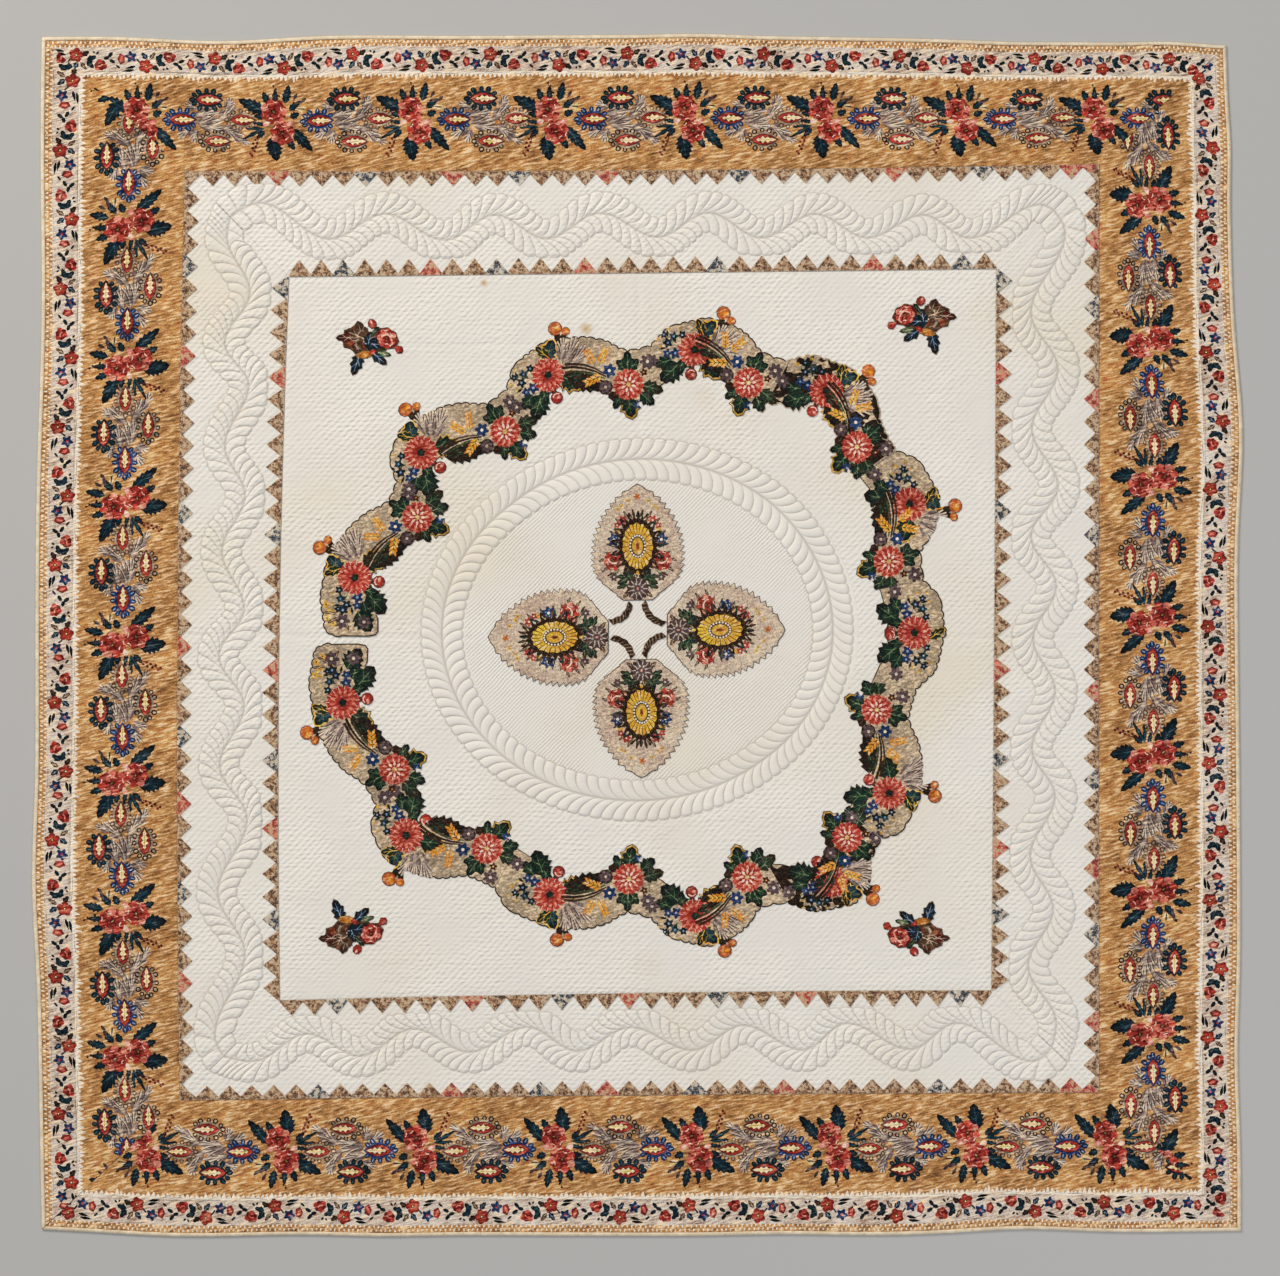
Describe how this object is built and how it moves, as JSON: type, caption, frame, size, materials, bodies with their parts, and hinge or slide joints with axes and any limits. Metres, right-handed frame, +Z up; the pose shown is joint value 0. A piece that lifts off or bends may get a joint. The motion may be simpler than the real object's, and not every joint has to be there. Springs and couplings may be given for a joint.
{
  "type": "broderie perse quilt",
  "caption": "Square appliqué quilt lying flat, with chintz cut-outs on quilted white cotton, toothed patchwork rows and a mitred chintz border.",
  "frame": {"origin": "middle of the underside, where the flat quilt meets the surface", "axes": "+Z up out of the quilt's face, +Y towards its top edge, +X towards its right edge"},
  "size_m": [3.0256, 3.006, 0.0063],
  "materials": {
    "white_cotton": "matt plain-weave cotton, quilted",
    "border_chintz": "roller-printed cotton chintz with a faint worn glaze",
    "binding_cotton": "matt cotton, folded over the edge",
    "patch_print": "matt printed dress cottons",
    "palm_chintz": "block-printed cotton chintz, edges turned under",
    "garland_chintz": "block-printed cotton chintz, edges turned under"
  },
  "bodies": {
    "root": {"centre_ground": "white_cotton", "feather_border_top": "white_cotton", "chintz_border_top": "border_chintz", "binding_top": "binding_cotton", "sawtooth_inner_top": "patch_print", "sawtooth_outer_top": "patch_print", "feather_border_right": "white_cotton", "chintz_border_right": "border_chintz", "binding_right": "binding_cotton", "sawtooth_inner_right": "patch_print", "sawtooth_outer_right": "patch_print", "feather_border_bottom": "white_cotton", "chintz_border_bottom": "border_chintz", "binding_bottom": "binding_cotton", "sawtooth_inner_bottom": "patch_print", "sawtooth_outer_bottom": "patch_print", "feather_border_left": "white_cotton", "chintz_border_left": "border_chintz", "binding_left": "binding_cotton", "sawtooth_inner_left": "patch_print", "sawtooth_outer_left": "patch_print", "palm_top": "palm_chintz", "palm_right": "palm_chintz", "palm_bottom": "palm_chintz", "palm_left": "palm_chintz", "stem_upper_left": "palm_chintz", "stem_upper_right": "palm_chintz", "stem_lower_left": "palm_chintz", "stem_lower_right": "palm_chintz", "sprig_top_left": "garland_chintz", "sprig_top_right": "garland_chintz", "sprig_bottom_right": "garland_chintz", "sprig_bottom_left": "garland_chintz", "garland_01": "garland_chintz", "garland_02": "garland_chintz", "garland_03": "garland_chintz", "garland_04": "garland_chintz", "garland_05": "garland_chintz", "garland_06": "garland_chintz", "garland_07": "garland_chintz", "garland_08": "garland_chintz", "garland_09": "garland_chintz", "garland_10": "garland_chintz", "garland_11": "garland_chintz", "garland_12": "garland_chintz", "garland_13": "garland_chintz"}
  },
  "joints": []
}
